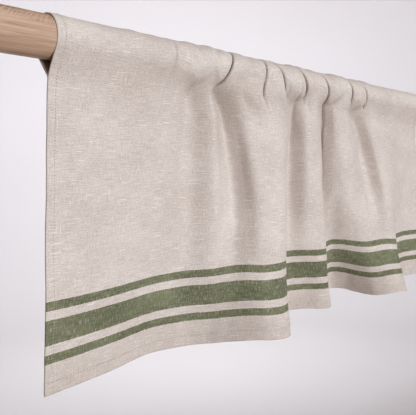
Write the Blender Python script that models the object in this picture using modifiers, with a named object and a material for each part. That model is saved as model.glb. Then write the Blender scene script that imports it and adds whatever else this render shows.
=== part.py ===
"""A linen valance gathered on a plain wooden rod.

The cloth is one length of linen. Its top edge is turned over the rod and sewn
down, which makes the rod pocket, and the rest hangs below the seam. It is wider
than the stretch of rod it covers, so it gathers: smooth at both ends, and
bunched into deep folds between the middle and the right.

Lengths are metres. X runs along the rod to the right, Y runs from the room
towards the back, and Z is up. The origin is the middle of the rod's axis.
"""

import math

import bmesh
import bpy
import numpy as np

# The rod.
ROD_RADIUS = 0.020
ROD_LENGTH = 1.000
ROD_SIDES = 48
ROD_END_ROUNDING = 0.0012

# The cloth.
CLOTH_THICKNESS = 0.0012
POCKET_RADIUS = 0.0214  # of the middle of the cloth, where it lies on the rod
SEAM_DROP = 0.0340  # from the rod's axis down to the line that closes the pocket
HANG = 0.2995  # along the cloth, from that seam down to the hem
FLARE = 1.1  # 1 is a straight fold, and more swings out later on its way down
GATHERED_SEAM_LIFT = 0.007  # full gathers use up cloth and draw the seam up
GATHERED_PUFF = 0.0080  # how far full gathers stand off the front of the rod
PUFF_RISE = 2.2  # a puff has its full height after one part in this many of the way down
PUFF_RISE_SHAPE = 1.5  # more keeps it lower near the top of the rod
CREASE_CLEARANCE = 0.0012  # how far the bottom of a sharp crease stays off it
SEAM_RIPPLE = 0.50  # how much of the pocket's relief is left in the seam's line
RIPPLE_REACH = 0.090  # how far below the seam the gathers still show
UPPER = 0.100  # how far below the seam the folds have their upper places
BOW_RISE = 0.025  # the folds have swung out to them after about twice this
BOW_FALL = (0.110, 0.250)  # and come back to a straight line between these

# Rows and columns of the mesh.
POCKET_TANGENT_ROWS = 2
POCKET_ARC_ROWS = 10
HANG_ROWS = 10
POCKET_ROWS = 2 * POCKET_TANGENT_ROWS + POCKET_ARC_ROWS
CURVE_STEPS = 4000

# The lines that run down the cloth, from its left edge to its right one: where each
# meets the seam, where it is at the upper height and at the hem, and how far the hem
# is hitched up there.
FOLD_COLUMNS = ("name", "seam_x", "seam_y", "upper_x", "upper_y", "hem_x", "hem_y", "lift")
FOLDS = (
    ("left edge", -0.391, -0.003, -0.392, 0.002, -0.396, 0.006, 0.000),
    ("left panel", -0.325, -0.005, -0.326, 0.004, -0.327, 0.014, 0.000),
    ("back sweep", -0.237, -0.005, -0.235, 0.007, -0.239, 0.024, 0.001),
    ("first groove", -0.206, 0.001, -0.196, 0.014, -0.199, 0.015, 0.001),
    ("first ridge", -0.192, -0.010, -0.174, -0.004, -0.180, 0.004, 0.001),
    ("deep groove, left side", -0.177, -0.001, -0.147, 0.006, -0.162, -0.015, 0.003),
    ("deep groove", -0.166, 0.003, -0.124, 0.014, -0.147, -0.034, 0.003),
    ("deep groove, right side", -0.161, -0.005, -0.117, 0.002, -0.137, -0.045, 0.003),
    ("first fold, side", -0.152, -0.012, -0.111, -0.012, -0.126, -0.054, 0.002),
    ("first fold, crest", -0.125, -0.017, -0.085, -0.020, -0.101, -0.060, 0.001),
    ("first fold, lower edge", -0.100, -0.018, -0.071, -0.022, -0.088, -0.056, 0.002),
    ("first fold, upper edge", -0.079, -0.018, -0.056, -0.021, -0.076, -0.047, 0.003),
    ("first fold, back", -0.054, -0.014, -0.036, -0.008, -0.060, -0.030, 0.003),
    ("first fold, tail", -0.030, -0.002, -0.020, 0.004, -0.041, -0.007, 0.001),
    ("first valley", -0.016, 0.003, -0.008, 0.012, -0.014, 0.019, 0.000),
    ("second fold, root", -0.010, 0.002, 0.003, 0.013, 0.015, 0.022, 0.000),
    ("second fold, side", 0.000, -0.006, 0.015, -0.010, 0.038, 0.009, 0.000),
    ("second fold, upper edge", 0.014, -0.013, 0.041, -0.013, 0.057, -0.007, -0.001),
    ("second fold, lower edge", 0.028, -0.010, 0.054, -0.008, 0.073, -0.014, -0.001),
    ("second fold, back", 0.044, -0.002, 0.069, 0.002, 0.093, -0.001, -0.001),
    ("second fold, tail", 0.056, 0.001, 0.084, 0.010, 0.113, 0.019, -0.003),
    ("second valley", 0.065, 0.000, 0.089, 0.017, 0.133, 0.038, -0.008),
    ("third fold, root", 0.071, -0.003, 0.090, 0.012, 0.149, 0.043, -0.012),
    ("third fold, side", 0.079, -0.008, 0.098, -0.003, 0.172, 0.044, -0.012),
    ("third fold, upper crest", 0.091, -0.013, 0.114, -0.013, 0.186, 0.026, -0.011),
    ("third fold, upper back", 0.108, -0.014, 0.136, -0.013, 0.192, 0.007, -0.009),
    ("third fold, upper fall", 0.134, -0.004, 0.173, -0.006, 0.202, -0.025, -0.007),
    ("last groove", 0.151, 0.002, 0.212, 0.002, 0.230, -0.049, -0.009),
    ("last groove, side", 0.166, -0.008, 0.225, -0.017, 0.252, -0.052, -0.011),
    ("third fold, edge", 0.181, -0.011, 0.240, -0.018, 0.268, -0.049, -0.012),
    ("third fold, back", 0.229, -0.003, 0.278, -0.011, 0.298, -0.022, -0.010),
    ("third valley", 0.262, -0.003, 0.312, -0.005, 0.325, 0.000, -0.006),
    ("right panel", 0.301, -0.004, 0.343, 0.000, 0.362, 0.006, -0.002),
    ("right edge", 0.391, -0.003, 0.406, -0.001, 0.442, -0.004, 0.000),
)

# Short creases that start at the seam and die out below it. The two places across are
# measured on the flat cloth from its left edge, at the seam and at the crease's end.
CREASES = (
    # name, across at the top, across at its end, depth, width, reach
    ("pucker on the first fold", 0.318, 0.316, 0.003, 0.008, 0.060),
    ("second pucker on the first fold", 0.366, 0.352, 0.004, 0.008, 0.070),
    ("pucker on the third fold", 0.702, 0.704, 0.002, 0.008, 0.060),
)

# Creases of the gathered pocket: where each crosses the top of the rod, where it
# meets the seam, how sharp it is from 0 to 1 there and here, and its width.
GATHERS = (
    # top x, seam x, top strength, seam strength, width
    (-0.250, -0.256, 0.80, 0.60, 0.011),
    (-0.226, -0.214, 0.90, 0.20, 0.009),
    (-0.199, -0.216, 0.60, 0.85, 0.010),
    (-0.154, -0.184, 1.00, 1.00, 0.009),
    (-0.126, -0.140, 0.25, 0.35, 0.009),
    (-0.098, -0.104, 1.00, 0.85, 0.007),
    (-0.080, -0.042, 1.00, 1.00, 0.008),
    (-0.060, -0.022, 0.85, 0.20, 0.006),
    (-0.030, 0.007, 1.00, 0.95, 0.008),
    (0.006, 0.034, 0.40, 0.50, 0.007),
    (0.024, 0.064, 0.95, 1.00, 0.008),
    (0.048, 0.088, 0.90, 0.25, 0.006),
    (0.080, 0.110, 0.20, 0.40, 0.007),
    (0.099, 0.126, 1.00, 1.00, 0.008),
    (0.140, 0.172, 0.90, 1.00, 0.007),
    (0.164, 0.186, 0.50, 0.60, 0.007),
)

# The highest places of the puffs over the top of the rod, between its creases.
PUFF_TOPS = (
    # rod x, height over the rod's top, width
    (-0.384, 0.0006, 0.008),
    (-0.300, 0.0012, 0.009),
    (-0.276, 0.0008, 0.006),
    (-0.251, 0.0010, 0.008),
    (-0.219, 0.0025, 0.011),
    (-0.190, 0.0024, 0.009),
    (-0.171, 0.0012, 0.005),
    (-0.141, 0.0012, 0.008),
    (-0.086, 0.0009, 0.008),
    (-0.070, 0.0010, 0.005),
    (-0.027, 0.0024, 0.009),
    (-0.010, 0.0018, 0.005),
    (0.012, 0.0012, 0.008),
    (0.080, 0.0026, 0.010),
    (0.103, 0.0021, 0.007),
    (0.140, 0.0019, 0.009),
    (0.170, 0.0022, 0.010),
    (0.346, 0.0006, 0.010),
)

# How full the gathers are along the rod, from 0 to 1.
FULLNESS_COLUMNS = ("rod_x", "fullness")
FULLNESS = (
    (-0.391, 0.00),
    (-0.300, 0.00),
    (-0.262, 0.55),
    (-0.215, 0.80),
    (-0.165, 1.00),
    (0.100, 1.00),
    (0.165, 0.95),
    (0.205, 0.20),
    (0.240, 0.00),
    (0.391, 0.00),
)

# How wide the mesh's columns are on the flat cloth, from one place across to the next.
SPACINGS = (
    # from, to, width of a column
    (0.000, 0.120, 0.0200),
    (0.120, 0.800, 0.0068),
    (0.800, 1.100, 0.0220),
)


def column(rows, columns, name):
    """One named column of a table, as an array."""
    place = columns.index(name)
    return np.array([row[place] for row in rows], dtype=float)


def curve_through(knots, values, at):
    """The smooth curve that passes through a table's values."""
    slopes = np.gradient(values, knots)
    piece = np.clip(np.searchsorted(knots, at, side="right") - 1, 0, len(knots) - 2)
    span = knots[piece + 1] - knots[piece]
    t = (at - knots[piece]) / span
    start = (2 * t**3 - 3 * t**2 + 1) * values[piece]
    leaving = (t**3 - 2 * t**2 + t) * span * slopes[piece]
    end = (3 * t**2 - 2 * t**3) * values[piece + 1]
    arriving = (t**3 - t**2) * span * slopes[piece + 1]
    return start + leaving + end + arriving


def trace_folds():
    """The hem's line from edge to edge, with the distance along it as the place across the flat cloth."""
    hem_x = column(FOLDS, FOLD_COLUMNS, "hem_x")
    hem_y = column(FOLDS, FOLD_COLUMNS, "hem_y")
    chords = np.hypot(np.diff(hem_x), np.diff(hem_y))
    knots = np.concatenate([[0.0], np.cumsum(chords)])
    along = np.linspace(0.0, knots[-1], CURVE_STEPS)
    traced = {
        name: curve_through(knots, column(FOLDS, FOLD_COLUMNS, name), along)
        for name in FOLD_COLUMNS[1:]
    }
    steps = np.hypot(np.diff(traced["hem_x"]), np.diff(traced["hem_y"]))
    traced["across"] = np.concatenate([[0.0], np.cumsum(steps)])
    return traced


def column_places(width):
    """Where the mesh's columns lie across the flat cloth: close together in the gathers."""
    places = [0.0]
    for start, end, spacing in SPACINGS:
        stop = min(end, width)
        count = max(1, round((stop - start) / spacing))
        places.extend(np.linspace(start, stop, count + 1)[1:])
    places[-1] = width
    return np.array(places)


def fullness_at(x):
    """How full the gathers are at places along the rod, from 0 to 1."""
    knots = column(FULLNESS, FULLNESS_COLUMNS, "rod_x")
    return np.interp(x, knots, column(FULLNESS, FULLNESS_COLUMNS, "fullness"))


def puff_top(x):
    """How far the puffs stand off the top of the rod, where they are pulled down on it."""
    height = np.zeros_like(x)
    for middle, tallest, width in PUFF_TOPS:
        height += tallest * np.exp(-(((x - middle) / width) ** 2))
    return height


def gather_relief(x, turn):
    """How far the pocket stands off the rod. turn is 0 over the rod's top and 1 at the seam."""
    fullness = fullness_at(x)
    rise = np.sin(0.5 * math.pi * np.clip(PUFF_RISE * turn, 0.0, 1.0)) ** PUFF_RISE_SHAPE
    relief = puff_top(x) * (1.0 - rise) + (GATHERED_PUFF - CREASE_CLEARANCE) * fullness * rise
    for top_x, seam_x, top_strength, seam_strength, width in GATHERS:
        crease_x = top_x + (seam_x - top_x) * turn
        strength = top_strength + (seam_strength - top_strength) * turn
        relief = relief * (1.0 - strength * rise * np.exp(-(((x - crease_x) / width) ** 2)))
    return relief + CREASE_CLEARANCE * fullness * rise


def crease_depth(across, down):
    """How far the creases below the seam push the cloth back, at one distance down."""
    depth = np.zeros_like(across)
    for _, across_top, across_end, deepest, width, reach in CREASES:
        fade = max(0.0, 1.0 - down / reach)
        centre = across_top + (across_end - across_top) * min(1.0, down / reach)
        spread = width * (1.0 + down / reach)
        profile = np.exp(-(((across - centre) / spread) ** 2))
        depth += deepest * math.sin(0.5 * math.pi * fade) * profile
    return depth


def bow_share(down):
    """How much of the folds' upper bow there is at a distance below the seam."""
    low, high = BOW_FALL
    fall = min(max((down - low) / (high - low), 0.0), 1.0)
    return (1.0 - math.exp(-down / BOW_RISE)) * (1.0 - fall * fall * (3.0 - 2.0 * fall))


def pocket_rows(seam_y, seam_z):
    """The pocket's section in every column, as rows of (y, z, share of the seam's own place).

    It goes straight from the seam to the back of the rod, round the rod, and straight
    from the rod's front to the seam again.
    """
    towards_seam = np.arctan2(seam_z, seam_y)
    half_angle = np.arccos(POCKET_RADIUS / np.hypot(seam_y, seam_z))
    first = towards_seam + half_angle
    round_rod = 2 * math.pi - 2 * half_angle
    arc = []
    for step in range(POCKET_ARC_ROWS + 1):
        angle = first + round_rod * step / POCKET_ARC_ROWS
        arc.append((POCKET_RADIUS * np.cos(angle), POCKET_RADIUS * np.sin(angle), 0.0))
    back = []
    front = []
    for step in range(POCKET_TANGENT_ROWS):
        share = 1.0 - step / POCKET_TANGENT_ROWS
        for rows, (y, z, _) in ((back, arc[0]), (front, arc[-1])):
            rows.append((y + (seam_y - y) * share, z + (seam_z - z) * share, share))
    return back + arc + front[::-1]


def hang_points(places, traced):
    """The cloth's points: an array of columns by rows, from the pocket's back edge to the hem."""
    at = {name: np.interp(places, traced["across"], traced[name]) for name in traced}
    seam_lift = GATHERED_SEAM_LIFT * fullness_at(at["seam_x"])
    ripple = SEAM_RIPPLE * gather_relief(at["seam_x"], 1.0)
    points = []
    for y, z, seam_share in pocket_rows(at["seam_y"] - ripple, seam_lift - SEAM_DROP):
        turn = (1.0 - z / POCKET_RADIUS) / (1.0 + SEAM_DROP / POCKET_RADIUS)
        relief = gather_relief(at["seam_x"], turn) * (1.0 - seam_share)
        outwards = 1.0 + relief / np.hypot(y, z)
        points.append(np.stack([at["seam_x"], y * outwards, z * outwards], axis=-1))

    sideways = np.gradient(at["hem_x"], places)
    backwards = np.gradient(at["hem_y"], places)
    facing = np.stack([-backwards, sideways], axis=-1)
    facing /= np.linalg.norm(facing, axis=-1, keepdims=True)
    run_x = at["hem_x"] - at["seam_x"]
    run_y = at["hem_y"] - at["seam_y"]
    upper_share = (UPPER / HANG) ** FLARE
    bow_x = at["upper_x"] - at["seam_x"] - run_x * upper_share
    bow_y = at["upper_y"] - at["seam_y"] - run_y * upper_share
    step = HANG / HANG_ROWS
    share = 0.0
    z = seam_lift - SEAM_DROP
    for row in range(1, HANG_ROWS + 1):
        next_share = (row / HANG_ROWS) ** FLARE
        slope = np.hypot(run_x, run_y) * (next_share - share) / step
        share = next_share
        z = z - step * np.sqrt(1.0 - np.minimum(slope, 0.95) ** 2)
        z = z + (at["lift"] - seam_lift) / HANG_ROWS
        down = row * step
        bowed = bow_share(down) / bow_share(UPPER)
        depth = crease_depth(places, down) - ripple * max(0.0, 1.0 - down / RIPPLE_REACH)
        x = at["seam_x"] + run_x * share + bow_x * bowed + depth * facing[:, 0]
        y = at["seam_y"] + run_y * share + bow_y * bowed + depth * facing[:, 1]
        points.append(np.stack([x, y, z], axis=-1))
    return np.stack(points, axis=1)


def plain_material(name, colour, roughness):
    """A Principled material of one colour."""
    material = bpy.data.materials.new(name)
    material.use_nodes = True
    shader = material.node_tree.nodes["Principled BSDF"]
    shader.inputs["Base Color"].default_value = (*colour, 1.0)
    shader.inputs["Roughness"].default_value = roughness
    shader.inputs["Metallic"].default_value = 0.0
    return material


def make_rod(collection):
    """The plain round rod, with slightly rounded rims at its flat ends."""
    bpy.ops.mesh.primitive_cylinder_add(
        vertices=ROD_SIDES,
        radius=ROD_RADIUS,
        depth=ROD_LENGTH,
        rotation=(0.0, math.pi / 2, 0.0),
    )
    rod = bpy.context.object
    rod.name = "rod"
    rounding = rod.modifiers.new("rounded rims", "BEVEL")
    rounding.width = ROD_END_ROUNDING
    rounding.segments = 1
    rounding.limit_method = "ANGLE"
    rounding.angle_limit = math.radians(40.0)
    rod.data.materials.append(plain_material("oiled wood", (0.46, 0.31, 0.21), 0.55))
    rod.data.shade_smooth()
    move_to(rod, collection)
    return rod


def make_valance(collection):
    """The cloth: a flat grid laid over the rod, sewn to itself at the seam, then given its thickness."""
    traced = trace_folds()
    width = traced["across"][-1]
    places = column_places(width)
    points = hang_points(places, traced)
    columns = len(places) - 1
    rows = POCKET_ROWS + HANG_ROWS

    flat = bmesh.new()
    bmesh.ops.create_grid(flat, x_segments=columns, y_segments=rows, size=0.5)
    for vertex in flat.verts:
        across = round((vertex.co.x + 0.5) * columns)
        down = round((vertex.co.y + 0.5) * rows)
        vertex.co = points[across, down]
    bmesh.ops.remove_doubles(flat, verts=flat.verts, dist=0.00001)

    mesh = bpy.data.meshes.new("valance")
    flat.to_mesh(mesh)
    flat.free()
    valance = bpy.data.objects.new("valance", mesh)
    collection.objects.link(valance)
    thickness = valance.modifiers.new("thickness", "SOLIDIFY")
    thickness.solidify_mode = "NON_MANIFOLD"
    thickness.nonmanifold_thickness_mode = "EVEN"
    thickness.nonmanifold_boundary_mode = "NONE"
    thickness.thickness = CLOTH_THICKNESS
    thickness.offset = 0.0
    mesh.materials.append(plain_material("natural linen", (0.66, 0.58, 0.53), 0.85))
    mesh.shade_smooth()
    print(f"flat cloth {width:.3f} m wide, {columns} columns by {rows} rows")
    return valance


def move_to(piece, collection):
    """Takes a piece out of the collections it was made in, into its own."""
    for other in list(piece.users_collection):
        other.objects.unlink(piece)
    collection.objects.link(piece)


def main():
    for leftover in list(bpy.data.objects):
        bpy.data.objects.remove(leftover, do_unlink=True)
    collection = bpy.data.collections.new("valance on a rod")
    bpy.context.scene.collection.children.link(collection)
    make_rod(collection)
    make_valance(collection)


main()
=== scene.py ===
# %% [markdown]
# # A linen valance gathered on a wooden rod
#
# A valance is a short curtain for the top of a window. This one is a single length of
# linen. Its top edge is turned over a round wooden rod and sewn down, which makes the rod
# pocket, and it is cut wider than the stretch of rod it covers, so it has to gather.
#
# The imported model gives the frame: the rod's axis lies along X, Y points away from the
# room, Z is up, and the origin is the middle of the rod. Every length here is in metres.

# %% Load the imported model
import math

import bmesh
import bpy
import numpy as np
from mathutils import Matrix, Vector


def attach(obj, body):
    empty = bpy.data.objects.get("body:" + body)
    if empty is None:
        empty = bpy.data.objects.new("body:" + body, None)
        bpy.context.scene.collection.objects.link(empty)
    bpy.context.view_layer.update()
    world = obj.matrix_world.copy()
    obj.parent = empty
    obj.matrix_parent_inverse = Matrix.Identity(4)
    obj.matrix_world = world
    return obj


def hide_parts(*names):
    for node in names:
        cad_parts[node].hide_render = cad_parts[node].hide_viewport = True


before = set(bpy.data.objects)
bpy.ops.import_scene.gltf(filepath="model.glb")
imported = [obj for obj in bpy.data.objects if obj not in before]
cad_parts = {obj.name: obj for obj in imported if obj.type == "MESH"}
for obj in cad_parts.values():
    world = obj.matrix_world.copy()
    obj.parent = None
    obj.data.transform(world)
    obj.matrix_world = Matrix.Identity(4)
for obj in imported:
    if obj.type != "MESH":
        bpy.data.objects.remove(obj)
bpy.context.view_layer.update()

# %% [markdown]
# ## The camera
#
# The picture is taken from close by and from the left, so the left edge looks tall and the
# folds to the right hide each other in part. The focal length is kept in pixels, because
# that is how it was found, and turned into a lens length for a picture of this width.

# %% Camera
IMAGE_WIDTH = 416
FOCAL_PIXELS = 550.0
CAMERA_PLACE = Vector((-0.6525, -0.4546, -0.1162))
CAMERA_TURN = math.radians(46.06)  # to the right of straight at the wall
CAMERA_TILT = math.radians(4.24)  # downwards
SENSOR_WIDTH = 36.0  # in millimetres, as the lens length
NEAREST_SEEN = 0.01


def add_object(name, data):
    """A new object in the scene."""
    made = bpy.data.objects.new(name, data)
    bpy.context.scene.collection.objects.link(made)
    return made


camera_data = bpy.data.cameras.new("camera")
camera_data.sensor_width = SENSOR_WIDTH
camera_data.lens = FOCAL_PIXELS / IMAGE_WIDTH * SENSOR_WIDTH
camera_data.clip_start = NEAREST_SEEN
camera = add_object("camera", camera_data)
camera.location = CAMERA_PLACE
camera.rotation_euler = (math.pi / 2 - CAMERA_TILT, 0.0, -CAMERA_TURN)
bpy.context.scene.camera = camera
print(f"lens {camera_data.lens:.1f} mm")

# %% [markdown]
# ## The studio
#
# A plain pale bowl stands in for floor and backdrop. It is far away on all sides, so that
# no view of the valance is blocked, and it is open above. A bowl is a profile turned about
# the vertical. The function that skins its rings of points makes the rod later on too.

# %% Floor and backdrop
FLOOR_DEPTH = -1.25
FLOOR_RADIUS = 3.2
BOWL_ROUNDING = 1.6
BOWL_HEIGHT = 3.0
BOWL_SIDES = 96
BOWL_STEPS = 16  # in the rounding between floor and wall
SAME_POINT = 0.00001  # points closer together than this become one


def bowl_profile():
    """Distances from the middle and heights, from the floor's middle up to the rim."""
    profile = [(0.0, FLOOR_DEPTH), (FLOOR_RADIUS, FLOOR_DEPTH)]
    for step in range(1, BOWL_STEPS + 1):
        angle = math.pi / 2 * step / BOWL_STEPS
        out = FLOOR_RADIUS + BOWL_ROUNDING * math.sin(angle)
        up = FLOOR_DEPTH + BOWL_ROUNDING * (1.0 - math.cos(angle))
        profile.append((out, up))
    profile.append((FLOOR_RADIUS + BOWL_ROUNDING, BOWL_HEIGHT))
    return profile


def bowl_ring(out, up):
    """A ring of points round the vertical, at one distance and height."""
    angles = [2 * math.pi * side / BOWL_SIDES for side in range(BOWL_SIDES)]
    return [(out * math.cos(angle), out * math.sin(angle), up) for angle in angles]


def skin(name, rings):
    """An object with faces between neighbouring rings of points."""
    shell = bmesh.new()
    loops = [[shell.verts.new(place) for place in ring] for ring in rings]
    for first, second in zip(loops, loops[1:]):
        for side in range(len(first)):
            after = (side + 1) % len(first)
            shell.faces.new((first[side], second[side], second[after], first[after]))
    bmesh.ops.remove_doubles(shell, verts=shell.verts, dist=SAME_POINT)
    mesh = bpy.data.meshes.new(name)
    shell.to_mesh(mesh)
    shell.free()
    mesh.shade_smooth()
    return add_object(name, mesh)


backdrop = skin("backdrop", [bowl_ring(out, up) for out, up in bowl_profile()])
print("backdrop faces:", len(backdrop.data.polygons))

# %% [markdown]
# ## Small helpers for materials
#
# Node materials get long when every node and every link is its own line. The first helper
# adds a node, sets its options, and fills its inputs. An input may be a number, a colour,
# or the output of another node, which is then linked. The others are made from it.


# %% Node helpers
def node(tree, kind, inputs=None, **options):
    """Adds a node of a kind, and returns it. The keys of inputs are names or numbers."""
    made = tree.nodes.new(kind)
    for name, value in options.items():
        setattr(made, name, value)
    for key, value in (inputs or {}).items():
        if isinstance(value, bpy.types.NodeSocket):
            tree.links.new(value, made.inputs[key])
        else:
            made.inputs[key].default_value = value
    return made


def new_material(name, values):
    """A material with its tree and its Principled shader, with plain values set on it."""
    material = bpy.data.materials.new(name)
    material.use_nodes = True
    shader = material.node_tree.nodes["Principled BSDF"]
    for key, value in values.items():
        shader.inputs[key].default_value = value
    return material, material.node_tree, shader


def tree_of(*values):
    """The tree that the first node output among the values belongs to."""
    return next(value.id_data for value in values if isinstance(value, bpy.types.NodeSocket))


def stretched_noise(place, scale, detail):
    """Noise with its own scale along each axis."""
    tree = tree_of(place)
    scale = (*scale, 1.0)[:3]
    stretched = node(tree, "ShaderNodeMapping", {"Vector": place, "Scale": scale})
    inputs = {"Vector": stretched.outputs["Vector"], "Scale": 1.0, "Detail": detail}
    return node(tree, "ShaderNodeTexNoise", inputs).outputs["Fac"]


def between(value, low, high):
    """0 below low, 1 above high, and smooth in between."""
    inputs = {"Value": value, "From Min": low, "From Max": high}
    options = {"interpolation_type": "SMOOTHSTEP"}
    return node(tree_of(value), "ShaderNodeMapRange", inputs, **options).outputs["Result"]


def math_node(operation, first, second=0.0):
    """One calculation with two values, or with one."""
    tree = tree_of(first, second)
    return node(tree, "ShaderNodeMath", {0: first, 1: second}, operation=operation).outputs[0]


def weighted_sum(*parts):
    """The sum of several values, each times its own share."""
    total = 0.0
    for value, share in parts:
        total = math_node("ADD", total, math_node("MULTIPLY", value, share))
    return total


def mix_colours(share, first, second, blend="MIX"):
    """A mix of two colours."""
    options = {"data_type": "RGBA", "blend_type": blend}
    tree = tree_of(share, first, second)
    mixed = node(tree, "ShaderNodeMix", {"Factor": share}, **options)
    for socket, value in ((mixed.inputs[6], first), (mixed.inputs[7], second)):
        if isinstance(value, bpy.types.NodeSocket):
            tree.links.new(value, socket)
        else:
            socket.default_value = (*value, 1.0)
    return mixed.outputs[2]


def lay_over(where, most, under, over):
    """One colour over another, with no more than a given share of it."""
    return mix_colours(math_node("MULTIPLY", where, most), under, over)


# %% Backdrop material
PAINT_DULL = (0.77, 0.76, 0.79, 1.0)
PAINT_PALE = (0.80, 0.79, 0.82, 1.0)
PAINT_WARM = (0.30, 0.20, 0.13)
PAINT_CHANGE = (-0.7, 0.8)  # it turns from warm to pale between these places along Y
PAINT_SCALE = 1.2

backdrop_paint, paint_tree, paint_shader = new_material(
    "matt paint, pale behind and warm in front", {"Roughness": 0.9, "Specular IOR Level": 0.1}
)
paint_place = node(paint_tree, "ShaderNodeTexCoord").outputs["Object"]
paint_noise = stretched_noise(paint_place, [PAINT_SCALE] * 3, 2.0)
paint_ramp = node(paint_tree, "ShaderNodeValToRGB", {"Fac": paint_noise})
paint_ramp.color_ramp.elements[0].color = PAINT_DULL
paint_ramp.color_ramp.elements[1].color = PAINT_PALE
paint_depth = node(paint_tree, "ShaderNodeSeparateXYZ", {"Vector": paint_place}).outputs["Y"]
change = {"Value": paint_depth, "From Min": PAINT_CHANGE[0], "From Max": PAINT_CHANGE[1]}
behind = node(paint_tree, "ShaderNodeMapRange", change).outputs["Result"]
paint_colour = mix_colours(behind, PAINT_WARM, paint_ramp.outputs["Color"])
paint_tree.links.new(paint_colour, paint_shader.inputs["Base Color"])
backdrop.data.materials.append(backdrop_paint)

# %% [markdown]
# ## Light
#
# One large soft lamp stands in front of the cloth, a little to the left, as a window across
# the room would. The side of a fold that turns away from it gets little light, and that is
# what draws the folds. Two weaker lamps, one low and one high, lighten that shade, and the
# last one lights only the backdrop. The world's own light is warm, which keeps the shade
# brown instead of grey.

# %% Lamps and world
LAMPS = (
    # name, place, width, height, watts, colour
    ("window light", (-0.3, -3.9, -0.1), 1.2, 1.8, 121.0, (0.86, 0.93, 1.0)),
    ("low light", (0.0, -2.2, -1.0), 1.6, 0.8, 13.0, (0.86, 0.93, 1.0)),
    ("ceiling light", (0.0, -1.6, 2.3), 2.5, 2.5, 47.0, (0.86, 0.93, 1.0)),
    ("backdrop light", (0.9, 0.9, 0.9), 1.2, 1.2, 77.0, (1.0, 0.985, 1.0)),
)
LAMP_AIMS = {"backdrop light": (2.5, 3.4, 0.9)}
CLOTH_MIDDLE = (0.0, 0.0, -0.15)
WORLD_COLOUR = (1.0, 0.76, 0.50, 1.0)
WORLD_STRENGTH = 0.20

for name, place, width, height, watts, colour in LAMPS:
    lamp_data = bpy.data.lights.new(name, "AREA")
    lamp_data.shape = "RECTANGLE"
    lamp_data.size = width
    lamp_data.size_y = height
    lamp_data.energy = watts
    lamp_data.color = colour
    lamp = add_object(name, lamp_data)
    lamp.location = place
    aim = Vector(LAMP_AIMS.get(name, CLOTH_MIDDLE)) - lamp.location
    lamp.rotation_euler = aim.to_track_quat("-Z", "Y").to_euler()
    print(f"{name}: {watts:.0f} W, {width} m wide, {height} m high")

world = bpy.data.worlds.new("studio")
world.use_nodes = True
world_shader = world.node_tree.nodes["Background"]
world_shader.inputs["Color"].default_value = WORLD_COLOUR
world_shader.inputs["Strength"].default_value = WORLD_STRENGTH
bpy.context.scene.world = world
bpy.context.scene.view_settings.view_transform = "Standard"
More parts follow.
